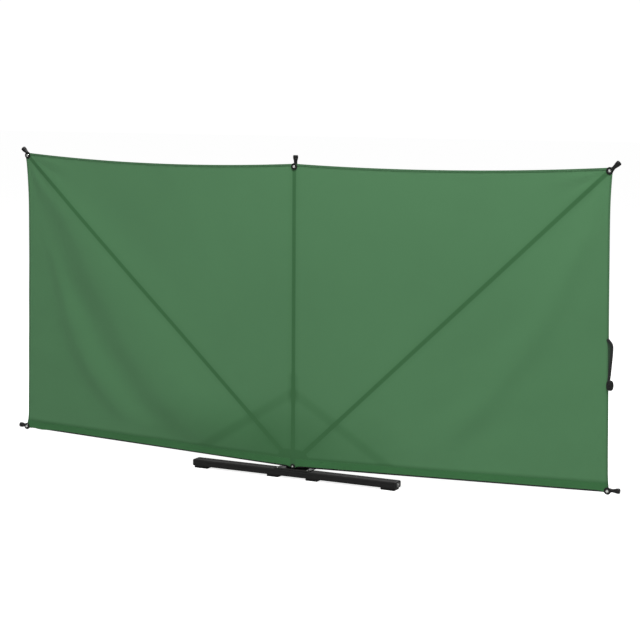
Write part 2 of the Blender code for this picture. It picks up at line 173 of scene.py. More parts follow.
def top_height(x, side):
    """Height of the top edge: a straight line between the eyelets, less a parabola that sags midway."""
    t = np.clip(np.abs(x) / CORNER_X, 0.0, 1.0)
    return EDGE_MARGIN + UPRIGHT_Z + t * (CORNER_Z - UPRIGHT_Z) - 4 * TOP_SAG[side] * t * (1 - t)


def side_reach(z, side):
    """Distance of a side edge from the middle: a straight line between the eyelets, less an inset that
    grows quickly above the lower corner and slowly below the upper one."""
    t = (z - LOWER_Z) / (CORNER_Z - LOWER_Z)
    above, below = np.maximum(z - LOWER_Z, 0.0), np.maximum(CORNER_Z - z, 0.0)
    inset = (1 - np.exp(-above / INSET_START["lower"])) * (1 - np.exp(-below / INSET_START["upper"]))
    return LOWER_X + t * (CORNER_X - LOWER_X) + EDGE_MARGIN - SIDE_INSET[side] * inset


def rounded_corner(before, corner, after, steps):
    """Points of a parabola from before to after that bends round the corner."""
    t = np.linspace(0.0, 1.0, steps)[:, None]
    return (1 - t) ** 2 * before + 2 * t * (1 - t) * corner + t**2 * after


def outline(side, side_steps=110, top_steps=150):
    """The edge of half the cloth as (distance from the middle, height), from its lower corner up the
    side, round the upper corner and along the top to the middle."""
    low_x = LOWER_X + EDGE_MARGIN
    low = np.array([low_x, hem_height(low_x)])
    high = np.array([CORNER_X + EDGE_MARGIN, CORNER_Z + EDGE_MARGIN])
    z = np.linspace(low[1] + CORNER_ROUND, high[1] - CORNER_ROUND, side_steps)
    flank = np.column_stack([side_reach(z, side), z])
    x = np.linspace(high[0] - CORNER_ROUND, 0.0, top_steps)
    top = np.column_stack([x, top_height(x, side)])
    start = low - (CORNER_ROUND, 0.0)
    lower_round = rounded_corner(start, low, flank[0], 5)
    upper_round = rounded_corner(flank[-1], high, top[0], 6)
    return np.concatenate([lower_round[:-1], flank[:-1], upper_round[:-1], top])


def flared(x, z):
    """The heights of points (x, z), lowered round each of the FLARES by a bell curve."""
    lowered = z
    for flare_x, flare_z, drop, reach in FLARES:
        away = (x - flare_x) ** 2 + (z - flare_z) ** 2
        lowered = lowered - drop * np.exp(-away / reach**2)
    return lowered


def ridge(x, z, height, points, left, right):
    """A soft fold along a cubic through four points (x, z): a bell curve across it, whose flanks have
    their own widths. It is low and narrow at its top, and fades out past both of its ends."""
    xs, zs = np.array(points).T
    course = np.polyfit(zs, xs, 3)
    lean = np.polyval(np.polyder(course), z)
    off = (x - np.polyval(course, np.clip(z, zs.min(), zs.max()))) / np.hypot(1.0, lean)
    least, growing = FOLD_GROWTH
    grow = least + (1 - least) * np.clip((zs.max() - z) / growing, 0.0, 1.0)
    width = np.where(off < 0, left, right) * grow
    foot = np.clip((z - zs.min()) / FOLD_FOOT + 0.5, 0.0, 1.0)
    above, setting_in = FOLD_HEAD
    ends = foot * foot * (3 - 2 * foot) * np.clip((zs.max() + above - z) / setting_in, 0.0, 1.0)
    return height * grow * ends * np.exp(-((off / width) ** 2))


# Folds of the slack outer fields: (height, four points of the crest from its top down, left and right width)
FOLDS = (
    (0.0185, ((-1.450, 1.400), (-1.127, 0.980), (-0.925, 0.640), (-0.440, 0.120)), 0.098, 0.190),
    (0.0098, ((-1.365, 1.050), (-1.265, 0.740), (-1.145, 0.475), (-0.880, 0.180)), 0.055, 0.085),
    (0.0090, ((1.455, 1.380), (1.285, 0.961), (1.145, 0.714), (0.735, 0.210)), 0.085, 0.055),
)


def relief(x, z):
    """How far the cloth stands forward of its plane: the folds, faint pleats that fan out from the hub,
    and short tension creases at the upper corners. It settles to nothing at the eyelets and the middle."""
    total = sum(ridge(x, z, *fold) for fold in FOLDS)
    radius, angle = np.hypot(x, z - PIN[2]), np.arctan2(np.abs(x), z - PIN[2])
    pleat = 0.5 - 0.5 * np.cos(2 * math.pi * PLEATS * angle / FOLD["lower"] + np.sign(x) * 0.6 * radius)
    quiet = 1 - np.exp(-((x / RIPPLE_START) ** 2))
    total = total + RIPPLE * pleat * np.clip(radius / RIPPLE_REACH, 0.0, 1.2) * quiet
    for name in ("left_diagonal", "right_diagonal"):
        dx, dz = x - EYELETS[name][0], z - EYELETS[name][2]
        away, turn = np.hypot(dx, dz), np.arctan2(np.abs(dx), -dz)
        band = np.exp(-(((away - CREASE_BAND[0]) / CREASE_BAND[1]) ** 2))
        total = total + CREASE * (0.5 + 0.5 * np.cos(turn * CREASE_TURNS)) * band
    for place in EYELETS.values():
        away = np.hypot(x - place[0], z - place[2])
        total = total * (1 - np.exp(-((away / CALM_REACH) ** 2)))
    return RELIEF_LIMIT * np.tanh(total / RELIEF_LIMIT)


def on_cloth(x, z, lift=0.0):
    """Points of the cloth's front at (x, z), flared and raised by its relief, and by lift besides."""
    lowered = flared(x, z)
    return np.stack([x, CLOTH_Y - relief(x, z) - lift, lowered], axis=-1)


# ---------------------------------------------------------------- mesh work


def grid_faces(rows, columns, over=False, around=False):
    """Quads over a grid of points kept row by row. around joins the last column to the first, and over
    joins the last row to the first."""
    i, j = np.meshgrid(np.arange(rows if over else rows - 1), np.arange(columns if around else columns - 1))
    next_i, next_j = (i + 1) % rows, (j + 1) % columns
    corners = [i * columns + j, i * columns + next_j, next_i * columns + next_j, next_i * columns + j]
    return np.stack(corners, axis=-1).reshape(-1, 4).tolist()


def loft(rings):
    """A closed skin over rings of points: quads between neighbouring rings, and at both ends a fan of
    triangles to the ring's own middle."""
    count, around = rings.shape[:2]
    points = np.concatenate([rings.reshape(-1, 3), rings[[0, -1]].mean(axis=1)])
    k = np.arange(around)
    beside, last_ring = (k + 1) % around, (count - 1) * around
    start_fan = np.stack([beside, k, np.full(around, count * around)], axis=-1)
    end_fan = np.stack([k + last_ring, beside + last_ring, np.full(around, count * around + 1)], axis=-1)
    return points, grid_faces(count, around, around=True) + start_fan.tolist() + end_fan.tolist()


def frame_round(axis):
    """Two directions at right angles to an axis and to each other."""
    axis = np.asarray(axis, float) / np.linalg.norm(axis)
    helper = BACK if abs(axis[1]) < 0.9 else UP
    first = np.cross(axis, helper)
    first /= np.linalg.norm(first)
    return axis, first, np.cross(axis, first)


def circles(origin, axis, profile, sides):
    """A circle for each (radius, height) of a profile: origin plus height along the axis, plus radius
    times the cosine and sine of a full turn."""
    axis, first, second = frame_round(axis)
    radius, height = np.array(profile, float).T
    turn = np.linspace(0.0, 2 * math.pi, sides, endpoint=False)
    wheel = np.cos(turn)[:, None] * first + np.sin(turn)[:, None] * second
    return np.asarray(origin) + height[:, None, None] * axis + radius[:, None, None] * wheel[None]


def turned(origin, axis, profile, sides=32):
    """A solid turned round an axis from a profile of (radius, height)."""
    return loft(circles(origin, axis, profile, sides))


def ring(origin, axis, section, sides=40):
    """A ring turned round an axis from a closed section of (radius, height)."""
    points = circles(origin, axis, section, sides)
    return points.reshape(-1, 3), grid_faces(len(section), sides, over=True, around=True)


def shell(front, thickness):
    """A thin closed sheet: the front grid, a copy of it further back, and a rim between their edges."""
    rows, columns = front.shape[:2]
    back = front + thickness * BACK
    points = np.concatenate([front.reshape(-1, 3), back.reshape(-1, 3)])
    index = np.arange(rows * columns).reshape(rows, columns)
    edge = np.concatenate([index[0, :-1], index[:-1, -1], index[-1, :0:-1], index[:0:-1, 0]])
    after = np.roll(edge, -1)
    rim = np.stack([edge, edge + rows * columns, after + rows * columns, after], axis=-1)
    faces = np.array(grid_faces(rows, columns))
    return points, faces.tolist() + (faces[:, ::-1] + rows * columns).tolist() + rim.tolist()


def end_block(centre, axis, half_width, half_height, length, corner, ease, steps=5):
    """A block that stands on a centre along a level axis: its long edges are quarter circles, and its far
    end eases in by one more."""
    across = BACK if abs(axis[0]) > 0.5 else ACROSS
    quarter = np.linspace(0.0, math.pi / 2, steps)
    turn = np.concatenate([quarter + k * math.pi / 2 for k in range(4)])
    signs = np.repeat([[1, 1], [-1, 1], [-1, -1], [1, -1]], steps, axis=0)
    core = signs * (np.array([half_width, half_height]) - corner)
    wheel = np.stack([np.cos(turn), np.sin(turn)], axis=-1)
    rings = []
    eased = [(length - ease * (1 - math.sin(t)), ease * (1 - math.cos(t))) for t in quarter]
    for reach, inset in [(0.0, 0.0)] + eased:
        flat = core + wheel * (corner - inset)
        rings.append(centre + reach * axis + flat[:, :1] * across + flat[:, 1:] * UP)
    return loft(np.array(rings))


def smooth_path(points, steps):
    """A uniform cubic B-spline whose ends are drawn to the first and the last point."""
    held = np.array([points[0]] * 2 + list(points) + [points[-1]] * 2, float)
    at = np.linspace(0.0, len(held) - 3 - 1e-6, steps)
    k, t = at.astype(int), (at % 1.0)[:, None]
    weights = ((1 - t) ** 3, 3 * t**3 - 6 * t**2 + 4, -3 * t**3 + 3 * t**2 + 3 * t + 1, t**3)
    return sum(w * held[k + i] for i, w in enumerate(weights)) / 6


def joined(parts):
    """Several (points, faces) as one."""
    points, faces, start = [], [], 0
    for part_points, part_faces in parts:
        points.append(part_points)
        faces += [[start + k for k in face] for face in part_faces]
        start += len(part_points)
    return np.concatenate(points), faces


def piece(name, parts, finish, sharp=35.0):
    """One object made of (points, faces), shaded smooth with its sharper edges kept, facing outwards."""
    points, faces = joined(parts)
    mesh = bpy.data.meshes.new(name)
    mesh.from_pydata(points.tolist(), [], faces)
    work = bmesh.new()
    work.from_mesh(mesh)
    bmesh.ops.remove_doubles(work, verts=work.verts, dist=1e-7)
    bmesh.ops.recalc_face_normals(work, faces=work.faces)
    work.to_mesh(mesh)
    work.free()
    mesh.shade_smooth()
    mesh.set_sharp_from_angle(angle=math.radians(sharp))
    mesh.materials.append(finish)
    made = bpy.data.objects.new(name, mesh)
    bpy.context.scene.collection.objects.link(made)
    return made


def points_of(made):
    """A mesh's points as an array."""
    flat = np.empty(len(made.data.vertices) * 3, np.float32)
    made.data.vertices.foreach_get("co", flat)
    return flat.reshape(-1, 3).astype(float)


def fold_with_fan(made):
    """Bakes a piece's placement into its points and reads their places across and up."""
    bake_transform(made)
    x, _, z = points_of(made).T
    return made


def keep_place(made):
    """Keeps each point's place at rest on the piece, for the finishes that follow the cloth."""
    found = made.data.attributes.new("cloth_place", "FLOAT_VECTOR", "POINT")
    found.data.foreach_set("vector", points_of(made).astype(np.float32).ravel())
    return made


def dressed(node, finish, edge=0.0006, sharp=35.0):
    """A copy of a CAD node with its loose triangles merged into flat faces and its edges rounded."""
    source = NODES[node].data
    work = bmesh.new()
    verts = [work.verts.new(v.co) for v in source.vertices]
    for polygon in source.polygons:
        work.faces.new([verts[k] for k in polygon.vertices])
    bmesh.ops.remove_doubles(work, verts=work.verts, dist=1e-6)
    bmesh.ops.dissolve_limit(work, angle_limit=math.radians(1.0), verts=work.verts, edges=work.edges)
    mesh = bpy.data.meshes.new(f"{node}_finished")
    work.to_mesh(mesh)
    work.free()
    mesh.shade_smooth()
    mesh.set_sharp_from_angle(angle=math.radians(sharp))
    mesh.materials.append(finish)
    made = bpy.data.objects.new(f"{node}_finished", mesh)
    bpy.context.scene.collection.objects.link(made)
    if edge:
        rounding = made.modifiers.new("rounded_edges", "BEVEL")
        rounding.width = edge
        rounding.segments = 2
        rounding.limit_method = "ANGLE"
        rounding.angle_limit = math.radians(sharp)
    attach(made, BODY_OF[node])
    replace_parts(made, node)
    return made


# ---------------------------------------------------------------- shader groups


class Graph:
    """Adds nodes to a node tree: each call makes one, sets its sockets and links what is a socket."""

    def __init__(self, tree):
        self.tree = tree

    def feed(self, socket, value):
        """Links a socket to another one, or sets it."""
        if isinstance(value, bpy.types.NodeSocket):
            self.tree.links.new(value, socket)
        else:
            socket.default_value = value

    def add(self, kind, inputs=None, **settings):
        node = self.tree.nodes.new(kind)
        for name, value in settings.items():
            setattr(node, name, value)
        for name, value in (inputs or {}).items():
            self.feed(node.inputs[name], value)
        return node

    def math(self, operation, *values, clamp=False):
        inputs = dict(enumerate(values))
        return self.add("ShaderNodeMath", inputs, operation=operation, use_clamp=clamp).outputs[0]

    def vector(self, operation, *values, out=0):
        return self.add("ShaderNodeVectorMath", dict(enumerate(values)), operation=operation).outputs[out]

    def noise(self, place, scale, detail=2.0, roughness=0.5):
        inputs = {"Vector": place, "Scale": scale, "Detail": detail, "Roughness": roughness}
        return self.add("ShaderNodeTexNoise", inputs).outputs["Fac"]

    def ranged(self, value, low, high, to_low, to_high):
        inputs = {"Value": value, "From Min": low, "From Max": high, "To Min": to_low, "To Max": to_high}
        return self.add("ShaderNodeMapRange", inputs, clamp=True).outputs["Result"]

    def group(self, which, **inputs):
        node = self.add("ShaderNodeGroup", node_tree=which)
        for name, value in inputs.items():
            self.feed(node.inputs[name.replace("_", " ").title()], value)
        return node.outputs

    def mixed(self, factor, one, other, blend="MIX"):
        """Two colours mixed: the colour sockets of a Mix node are its inputs 6 and 7."""
        colours = [c if isinstance(c, bpy.types.NodeSocket) else (*c, 1.0) for c in (one, other)]
        inputs = {"Factor": factor, 6: colours[0], 7: colours[1]}
        return self.add("ShaderNodeMix", inputs, data_type="RGBA", blend_type=blend).outputs[2]

    def tinted(self, colour, factor):
        """A colour times a grey factor."""
        return self.mixed(1.0, colour, factor, "MULTIPLY")


def new_group(name, inputs, outputs):
    """An empty shader group with float or vector inputs and float outputs: (tree, graph, ins, out)."""
    tree = bpy.data.node_groups.new(name, "ShaderNodeTree")
    for title, value in inputs.items():
        kind = "NodeSocketVector" if value is None or isinstance(value, tuple) else "NodeSocketFloat"
        socket = tree.interface.new_socket(title, in_out="INPUT", socket_type=kind)
        if value is not None:
            socket.default_value = value
    for title in outputs:
        tree.interface.new_socket(title, in_out="OUTPUT", socket_type="NodeSocketFloat")
    graph = Graph(tree)
    ins = graph.add("NodeGroupInput").outputs
    out = graph.add("NodeGroupOutput")
    return tree, graph, ins, out


def weave_group():
    """Plain weave: the threads of one direction rise where the other ones dip, so the height is the
    product of two sines. Shade varies with single threads and, over a wide range, with the dye."""
    inputs = {"Place": None, "Pitch": 0.0008}
    tree, graph, ins, out = new_group("plain_weave", inputs, ("Height", "Shade"))
    turns = graph.math("DIVIDE", 2 * math.pi, ins["Pitch"])
    scaled = graph.vector("SCALE", ins["Place"])
    graph.tree.links.new(turns, scaled.node.inputs["Scale"])
    axes = graph.add("ShaderNodeSeparateXYZ", {0: scaled}).outputs
    height = graph.math("MULTIPLY", graph.math("SINE", axes["X"]), graph.math("SINE", axes["Z"]))
    slub = graph.noise(graph.vector("MULTIPLY", ins["Place"], (900.0, 1.0, 60.0)), 1.0, 1.0)
    dye = graph.noise(ins["Place"], 1.6, 3.0)
    by_thread = graph.ranged(slub, 0.3, 0.7, -0.012, 0.012)
    shade = graph.math("ADD", by_thread, graph.ranged(dye, 0.3, 0.7, 0.975, 1.025))
    tree.links.new(graph.math("MULTIPLY_ADD", height, 0.5, 0.5), out.inputs["Height"])
    tree.links.new(shade, out.inputs["Shade"])
    return tree


def show_through_group():
    """How strongly a painted shade lies on the cloth: full within a half width of the line between two
    points, fading to nothing over a soft border."""
    origin = (0.0, 0.0, 0.0)
    inputs = {"Place": None, "From": origin, "To": origin, "Half Width": 0.005, "Border": 0.01}
    tree, graph, ins, out = new_group("show_through", inputs, ("Mask",))
    flat = (1.0, 0.0, 1.0)
    reach = graph.vector("MULTIPLY", graph.vector("SUBTRACT", ins["Place"], ins["From"]), flat)
    line = graph.vector("MULTIPLY", graph.vector("SUBTRACT", ins["To"], ins["From"]), flat)
    dots = [graph.vector("DOT_PRODUCT", reach, line, out=1), graph.vector("DOT_PRODUCT", line, line, out=1)]
    share = graph.math("DIVIDE", *dots, clamp=True)
    nearest = graph.vector("SCALE", line)
    tree.links.new(share, nearest.node.inputs["Scale"])
    distance = graph.vector("DISTANCE", reach, nearest, out=1)
    outside = graph.math("SUBTRACT", distance, ins["Half Width"])
    past = graph.math("DIVIDE", outside, ins["Border"], clamp=True)
    smooth = graph.add(
        "ShaderNodeMapRange", {"Value": past, "To Min": 1.0, "To Max": 0.0}, interpolation_type="SMOOTHSTEP"
    )
    tree.links.new(smooth.outputs["Result"], out.inputs["Mask"])
    return tree


def grain_group():
    """Fine grain of a moulded or coated surface: small noise for its height, and a slow one for tint."""
    inputs = {"Place": None, "Scale": 900.0, "Contrast": 0.1}
    tree, graph, ins, out = new_group("fine_grain", inputs, ("Height", "Tint"))
    fine = graph.noise(ins["Place"], 1.0, 2.0, 0.6)
    tree.links.new(ins["Scale"], fine.node.inputs["Scale"])
    slow = graph.noise(ins["Place"], 14.0, 4.0, 0.6)
    spread = graph.math("MULTIPLY", graph.math("SUBTRACT", slow, 0.5), ins["Contrast"])
    tree.links.new(fine, out.inputs["Height"])
    tree.links.new(graph.math("MULTIPLY_ADD", spread, 2.0, 1.0), out.inputs["Tint"])
    return tree


def handling_group():
    """Marks of use: sparse scuffs where a stretched noise peaks, and dust where the surface faces up."""
    inputs = {"Place": None, "Amount": 0.3}
    tree, graph, ins, out = new_group("handling_marks", inputs, ("Scuff", "Dust"))
    streaks = graph.noise(graph.vector("MULTIPLY", ins["Place"], (30.0, 160.0, 160.0)), 1.0, 3.0, 0.7)
    patches = graph.noise(ins["Place"], 25.0, 2.0)
    scratched = graph.ranged(streaks, 0.60, 0.72, 0.0, 1.0)
    scuff = graph.math("MULTIPLY", scratched, graph.ranged(patches, 0.45, 0.65, 0.0, 1.0))
    normal = graph.add("ShaderNodeNewGeometry").outputs["Normal"]
    upward = graph.add("ShaderNodeSeparateXYZ", {0: normal}).outputs["Z"]
    level = graph.ranged(upward, 0.4, 1.0, 0.0, 1.0)
    settled = graph.math("MULTIPLY", level, graph.ranged(patches, 0.3, 0.7, 0.4, 1.0))
    tree.links.new(graph.math("MULTIPLY", scuff, ins["Amount"]), out.inputs["Scuff"])
    tree.links.new(graph.math("MULTIPLY", settled, ins["Amount"]), out.inputs["Dust"])
    return tree


WEAVE = weave_group()
PAINTED_SHADE_LINE = show_through_group()
GRAIN = grain_group()
HANDLING = handling_group()


# ---------------------------------------------------------------- materials


def blank_material(name, roughness, metallic=0.0, **constants):
    """A material with one Principled shader: (material, graph, shader)."""
    found = bpy.data.materials.new(name)
    found.use_nodes = True
    shader = found.node_tree.nodes["Principled BSDF"]
    shader.inputs["Roughness"].default_value = roughness
    shader.inputs["Metallic"].default_value = metallic
    for title, value in constants.items():
        shader.inputs[title.replace("_", " ")].default_value = value
    return found, Graph(found.node_tree), shader


def bumped(graph, shader, height, strength, distance):
    """Feeds a height into the shader's normal."""
    inputs = {"Height": height, "Strength": strength, "Distance": distance}
    bump = graph.add("ShaderNodeBump", inputs)
    graph.tree.links.new(bump.outputs["Normal"], shader.inputs["Normal"])


def strut_line(word):
    """A strut's pivot on its arm and its end at the runner: the end lies as far past its middle."""
    pivot = np.array(JOINTS[f"{word}_strut_fold"]["pos_m"], float)
    end = 2 * middle(f"{word}_strut") - pivot
    return pivot, np.array([end[0], pivot[1], end[2]])


# Painted shades on the cloth, as lines along the pieces behind it and wide soft patches: (half width, border,
# strength)
PAINTED_SHADES = {
    "lower": (0.028, 0.024, 0.93),
    "arm": (0.0050, 0.0080, 0.93),
    "arm_halo": (0.0040, 0.0400, 0.15),
    "strut": (0.0050, 0.0320, 0.30),
    "hub": (0.030, 0.030, 0.90),
    "runner": (0.008, 0.030, 0.30),
    # The last three are wide soft patches of painted shade: under the struts, over the hub and on the left field.
    "roof": (0.020, 0.300, 0.30),
    "over_hub": (0.050, 0.300, 0.30),
    "left_field": (0.020, 0.240, 0.24),
}
PAINTED_SHADES_START = 0.03  # where an arm's painted shade starts, from its foot
HUB_SHADE_TOP = 0.125  # height to which the hub's painted shade reaches
HUB_SHADE_INSIDE = 0.03  # the hub's painted shade ends this far inside its plate
ROOF_SHADE_REACH = 0.9  # of the runner's height: the half length of the painted shade under the struts


def painted_cloth_shades():
    """Painted shades on the cloth: (from, to, half width, border, strength): lines along the arms, struts,
    hub and runner behind it, and wide soft patches under the struts, over the hub and on the left field."""
    seen = []
    for name in ARMS:
        foot, direction = LINES[name]
        marks = ("lower",) if "lower" in name else ("arm", "arm_halo")
        seen += [(foot + PAINTED_SHADES_START * direction, EYELETS[name], *PAINTED_SHADES[mark]) for mark in marks]
    for word in SIDES:
        seen.append((*strut_line(word), *PAINTED_SHADES["strut"]))
    low, high = low_high("hub_plate")
    hub = UP * ((low[2] + HUB_SHADE_TOP) / 2)
    half = ACROSS * ((high[0] - low[0]) / 2 - HUB_SHADE_INSIDE)
    seen.append((hub + half, hub - half, *PAINTED_SHADES["hub"]))
    runner_low, runner_high = low_high("runner")
    seen.append((UP * runner_low[2], UP * runner_high[2], *PAINTED_SHADES["runner"]))
    # Wide soft patches of painted shade under the struts, over the hub and on the left field.
    roof = ACROSS * (runner_low[2] * ROOF_SHADE_REACH)
    seen.append((hub - roof, hub + roof, *PAINTED_SHADES["roof"]))
    seen.append((hub, hub + UP * 0.05, *PAINTED_SHADES["over_hub"]))
    field = hub + UP * 0.08
    seen.append((field - ACROSS * 0.62, field - ACROSS * 0.22, *PAINTED_SHADES["left_field"]))
    return seen


def cloth_material(name, colour, shade, with_painted_shades):
    """Woven polyester. The shade of the arms and other pieces behind it is painted into its colour as lines and
    patches of a darker, deeper green.
    """
    found, graph, shader = blank_material(name, 0.82, Sheen_Weight=0.12, Specular_IOR_Level=0.22)
    place = graph.add("ShaderNodeAttribute", attribute_name="cloth_place").outputs["Vector"]
    weave = graph.group(WEAVE, place=place, pitch=0.0009)
    painted_shade_amount = None
    for start, end, half_width, border, strength in painted_cloth_shades() if with_painted_shades else ():
        ends = {"from": tuple(start), "to": tuple(end)}
        mask = graph.group(PAINTED_SHADE_LINE, place=place, half_width=half_width, border=border, **ends)["Mask"]
        part = graph.math("MULTIPLY", mask, strength)
        painted_shade_amount = part if painted_shade_amount is None else graph.math("ADD", painted_shade_amount, part)
    factor = graph.math("MULTIPLY", weave["Shade"], shade)
    base = graph.tinted(colour, factor)
    # Painted shade: where the masks lie, the colour is mixed toward a darker, deeper green.
    if painted_shade_amount is not None:
        painted_shade_colour = graph.tinted([c * b for c, b in zip(colour, PAINTED_SHADE_TINT)], factor)
        base = graph.mixed(graph.math("MINIMUM", painted_shade_amount, 1.0), base, painted_shade_colour)
    graph.tree.links.new(base, shader.inputs["Base Color"])
    bumped(graph, shader, weave["Height"], 0.25, 0.00015)
    return found


DUST = (0.10, 0.095, 0.085)


def coated_material(name, colour, roughness, grain, contrast, depth, use, metallic=0.0, gloss=0.30):
    """A coated, moulded or plated surface: grain of a scale, contrast and depth in its height, tint and
    roughness, and by its use scuffs and dust."""
    found, graph, shader = blank_material(name, roughness, metallic, Specular_IOR_Level=gloss)
    place = graph.add("ShaderNodeTexCoord").outputs["Object"]
    fine = graph.group(GRAIN, place=place, scale=grain, contrast=contrast)
    marks = graph.group(HANDLING, place=place, amount=use)
    base = graph.mixed(marks["Dust"], graph.tinted(colour, fine["Tint"]), DUST)
    graph.tree.links.new(base, shader.inputs["Base Color"])
    uneven = graph.ranged(fine["Height"], 0.3, 0.7, roughness - 0.05, roughness + 0.05)
    rough = graph.math("MULTIPLY_ADD", marks["Scuff"], 0.35, uneven, clamp=True)
    graph.tree.links.new(rough, shader.inputs["Roughness"])
    bumped(graph, shader, fine["Height"], 0.35, depth)
    return found


def webbing_material(name, colour):
    """Polyester webbing: a coarse weave on the strap's own coordinates, with painted light on its raised threads
    and painted shade in its dips.
    """
    found, graph, shader = blank_material(name, 0.75, Sheen_Weight=0.1, Specular_IOR_Level=0.3)
    place = graph.add("ShaderNodeTexCoord").outputs["Object"]
    weave = graph.group(WEAVE, place=place, pitch=0.0024)
    # Painted light and shade: the colour rises with the weave's height, lighter on the threads and darker in the
    # dips.
    lit = graph.math("MULTIPLY_ADD", weave["Height"], 0.4, 0.8)
    factor = graph.math("MULTIPLY", weave["Shade"], lit)
    graph.tree.links.new(graph.tinted(colour, factor), shader.inputs["Base Color"])
    bumped(graph, shader, weave["Height"], 0.6, 0.0004)
    return found


GREEN = (0.0675, 0.1840, 0.0797)
PAINTED_SHADE_TINT = (0.50, 0.65, 0.52)  # what is left of the green, red to blue, under a full painted shade
CLOTH = cloth_material("green_cloth", GREEN, 1.0, True)
DOUBLED = cloth_material("green_cloth_doubled", GREEN, 0.80, True)
# The lower hem's deeper green is partly its doubled cloth and partly painted shade of the lower arm behind it.
LOWER_HEM_DOUBLED_AND_SHADED = cloth_material("green_lower_hem_doubled_and_shaded", (0.0345, 0.1360, 0.0435), 1.0, False)
THREAD = cloth_material("green_thread", (0.040, 0.110, 0.050), 1.0, False)
TUBE_COAT = coated_material("black_powder_coat", (0.008, 0.008, 0.009), 0.45, 1400.0, 0.10, 0.00012, 0.10)
BAR_COAT = coated_material(
    "anthracite_powder_coat", (0.018, 0.018, 0.0178), 0.62, 1100.0, 0.12, 0.00018, 0.03, gloss=0.06
)
PLASTIC = coated_material("black_moulded_plastic", (0.006, 0.006, 0.006), 0.50, 700.0, 0.12, 0.00020, 0.10)
GREY_PLASTIC = coated_material(
    "grey_moulded_plastic", (0.150, 0.150, 0.148), 0.52, 700.0, 0.10, 0.00020, 0.10
)
RUBBER = coated_material("black_rubber", (0.009, 0.009, 0.009), 0.80, 500.0, 0.20, 0.00035, 0.25)
ZINC = coated_material("zinc_plated_steel", (0.50, 0.50, 0.49), 0.33, 600.0, 0.12, 0.00008, 0.05, 1.0, 0.5)
EYELET_METAL = coated_material("black_plated_brass", (0.006, 0.007, 0.006), 0.34, 600.0, 0.15, 0.00006, 0.03)
STUD_METAL = coated_material("polished_stud", (0.82, 0.83, 0.80), 0.22, 500.0, 0.06, 0.00004, 0.02, 1.0, 0.5)
WEBBING = webbing_material("black_webbing", (0.010, 0.011, 0.011))
# Painted shade: the inner leg's dark green is a green band coloured as it looks lying in shade.
SHADED_GREEN_WEBBING = webbing_material("shaded_green_webbing", (0.014, 0.040, 0.018))


# ---------------------------------------------------------------- cloth pieces


def make_cloth(word):
    """Half of the cloth. Rays run from the foot of the middle line to every point of the outline, so the
    grid follows the fan: point = foot + t (outline - foot), set on the relief."""
    side = SIDES[word]
    edge = outline(side)
    foot = np.array([0.0, hem_height(0.0)])
    t = np.linspace(0.0, 1.0, CLOTH_RINGS)[:, None, None]
    flat = foot + t * (edge - foot)[None]
    x, z = side * flat[..., 0], flat[..., 1]
    made = piece(f"{word}_cloth", [shell(on_cloth(x, z), CLOTH_THICKNESS)], CLOTH)
    keep_place(made)
    fold_with_fan(made)
    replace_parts(made, f"{word}_lower_cloth", f"{word}_upper_cloth")
    return made


def edge_line(word, which, steps):
    """Points (x, z) along one edge of half the cloth, and the direction across it, inwards."""
    side = SIDES[word]
    if which == "lower":
        x = np.linspace(0.015, LOWER_X + EDGE_MARGIN - HEM_INSIDE, steps)
        return side * x, hem_height(x), np.array([0.0, 1.0])
    if which == "side":
        z = np.linspace(hem_height(LOWER_X) + HEM_INSIDE, CORNER_Z + EDGE_MARGIN - 0.002, steps)
        return side * side_reach(z, side), z, np.array([-side, 0.0])
    x = np.linspace(0.0, CORNER_X + EDGE_MARGIN - HEM_INSIDE, steps)
    return side * x, top_height(x, side), np.array([0.0, -1.0])


def make_hem(word, which, steps=220):
    """A folded edge: a narrow band on the cloth's front, from the edge inwards by the hem's width."""
    x, z, inward = edge_line(word, which, steps)
    v = np.linspace(0.0, HEM_WIDTH[which], 7 if which == "lower" else 4)[:, None]
    band_x, band_z = x + inward[0] * v, z + inward[1] * v
    side = SIDES[word]
    band_x = side * np.minimum(side * band_x, side_reach(band_z, side) - 0.0004)
    front = on_cloth(band_x, band_z, HEM_LIFT[which])
    finish = LOWER_HEM_DOUBLED_AND_SHADED if which == "lower" else DOUBLED
    made = piece(f"{word}_{which}_hem", [shell(front, HEM_LIFT[which] * 0.9)], finish)
    return fold_with_fan(keep_place(made))


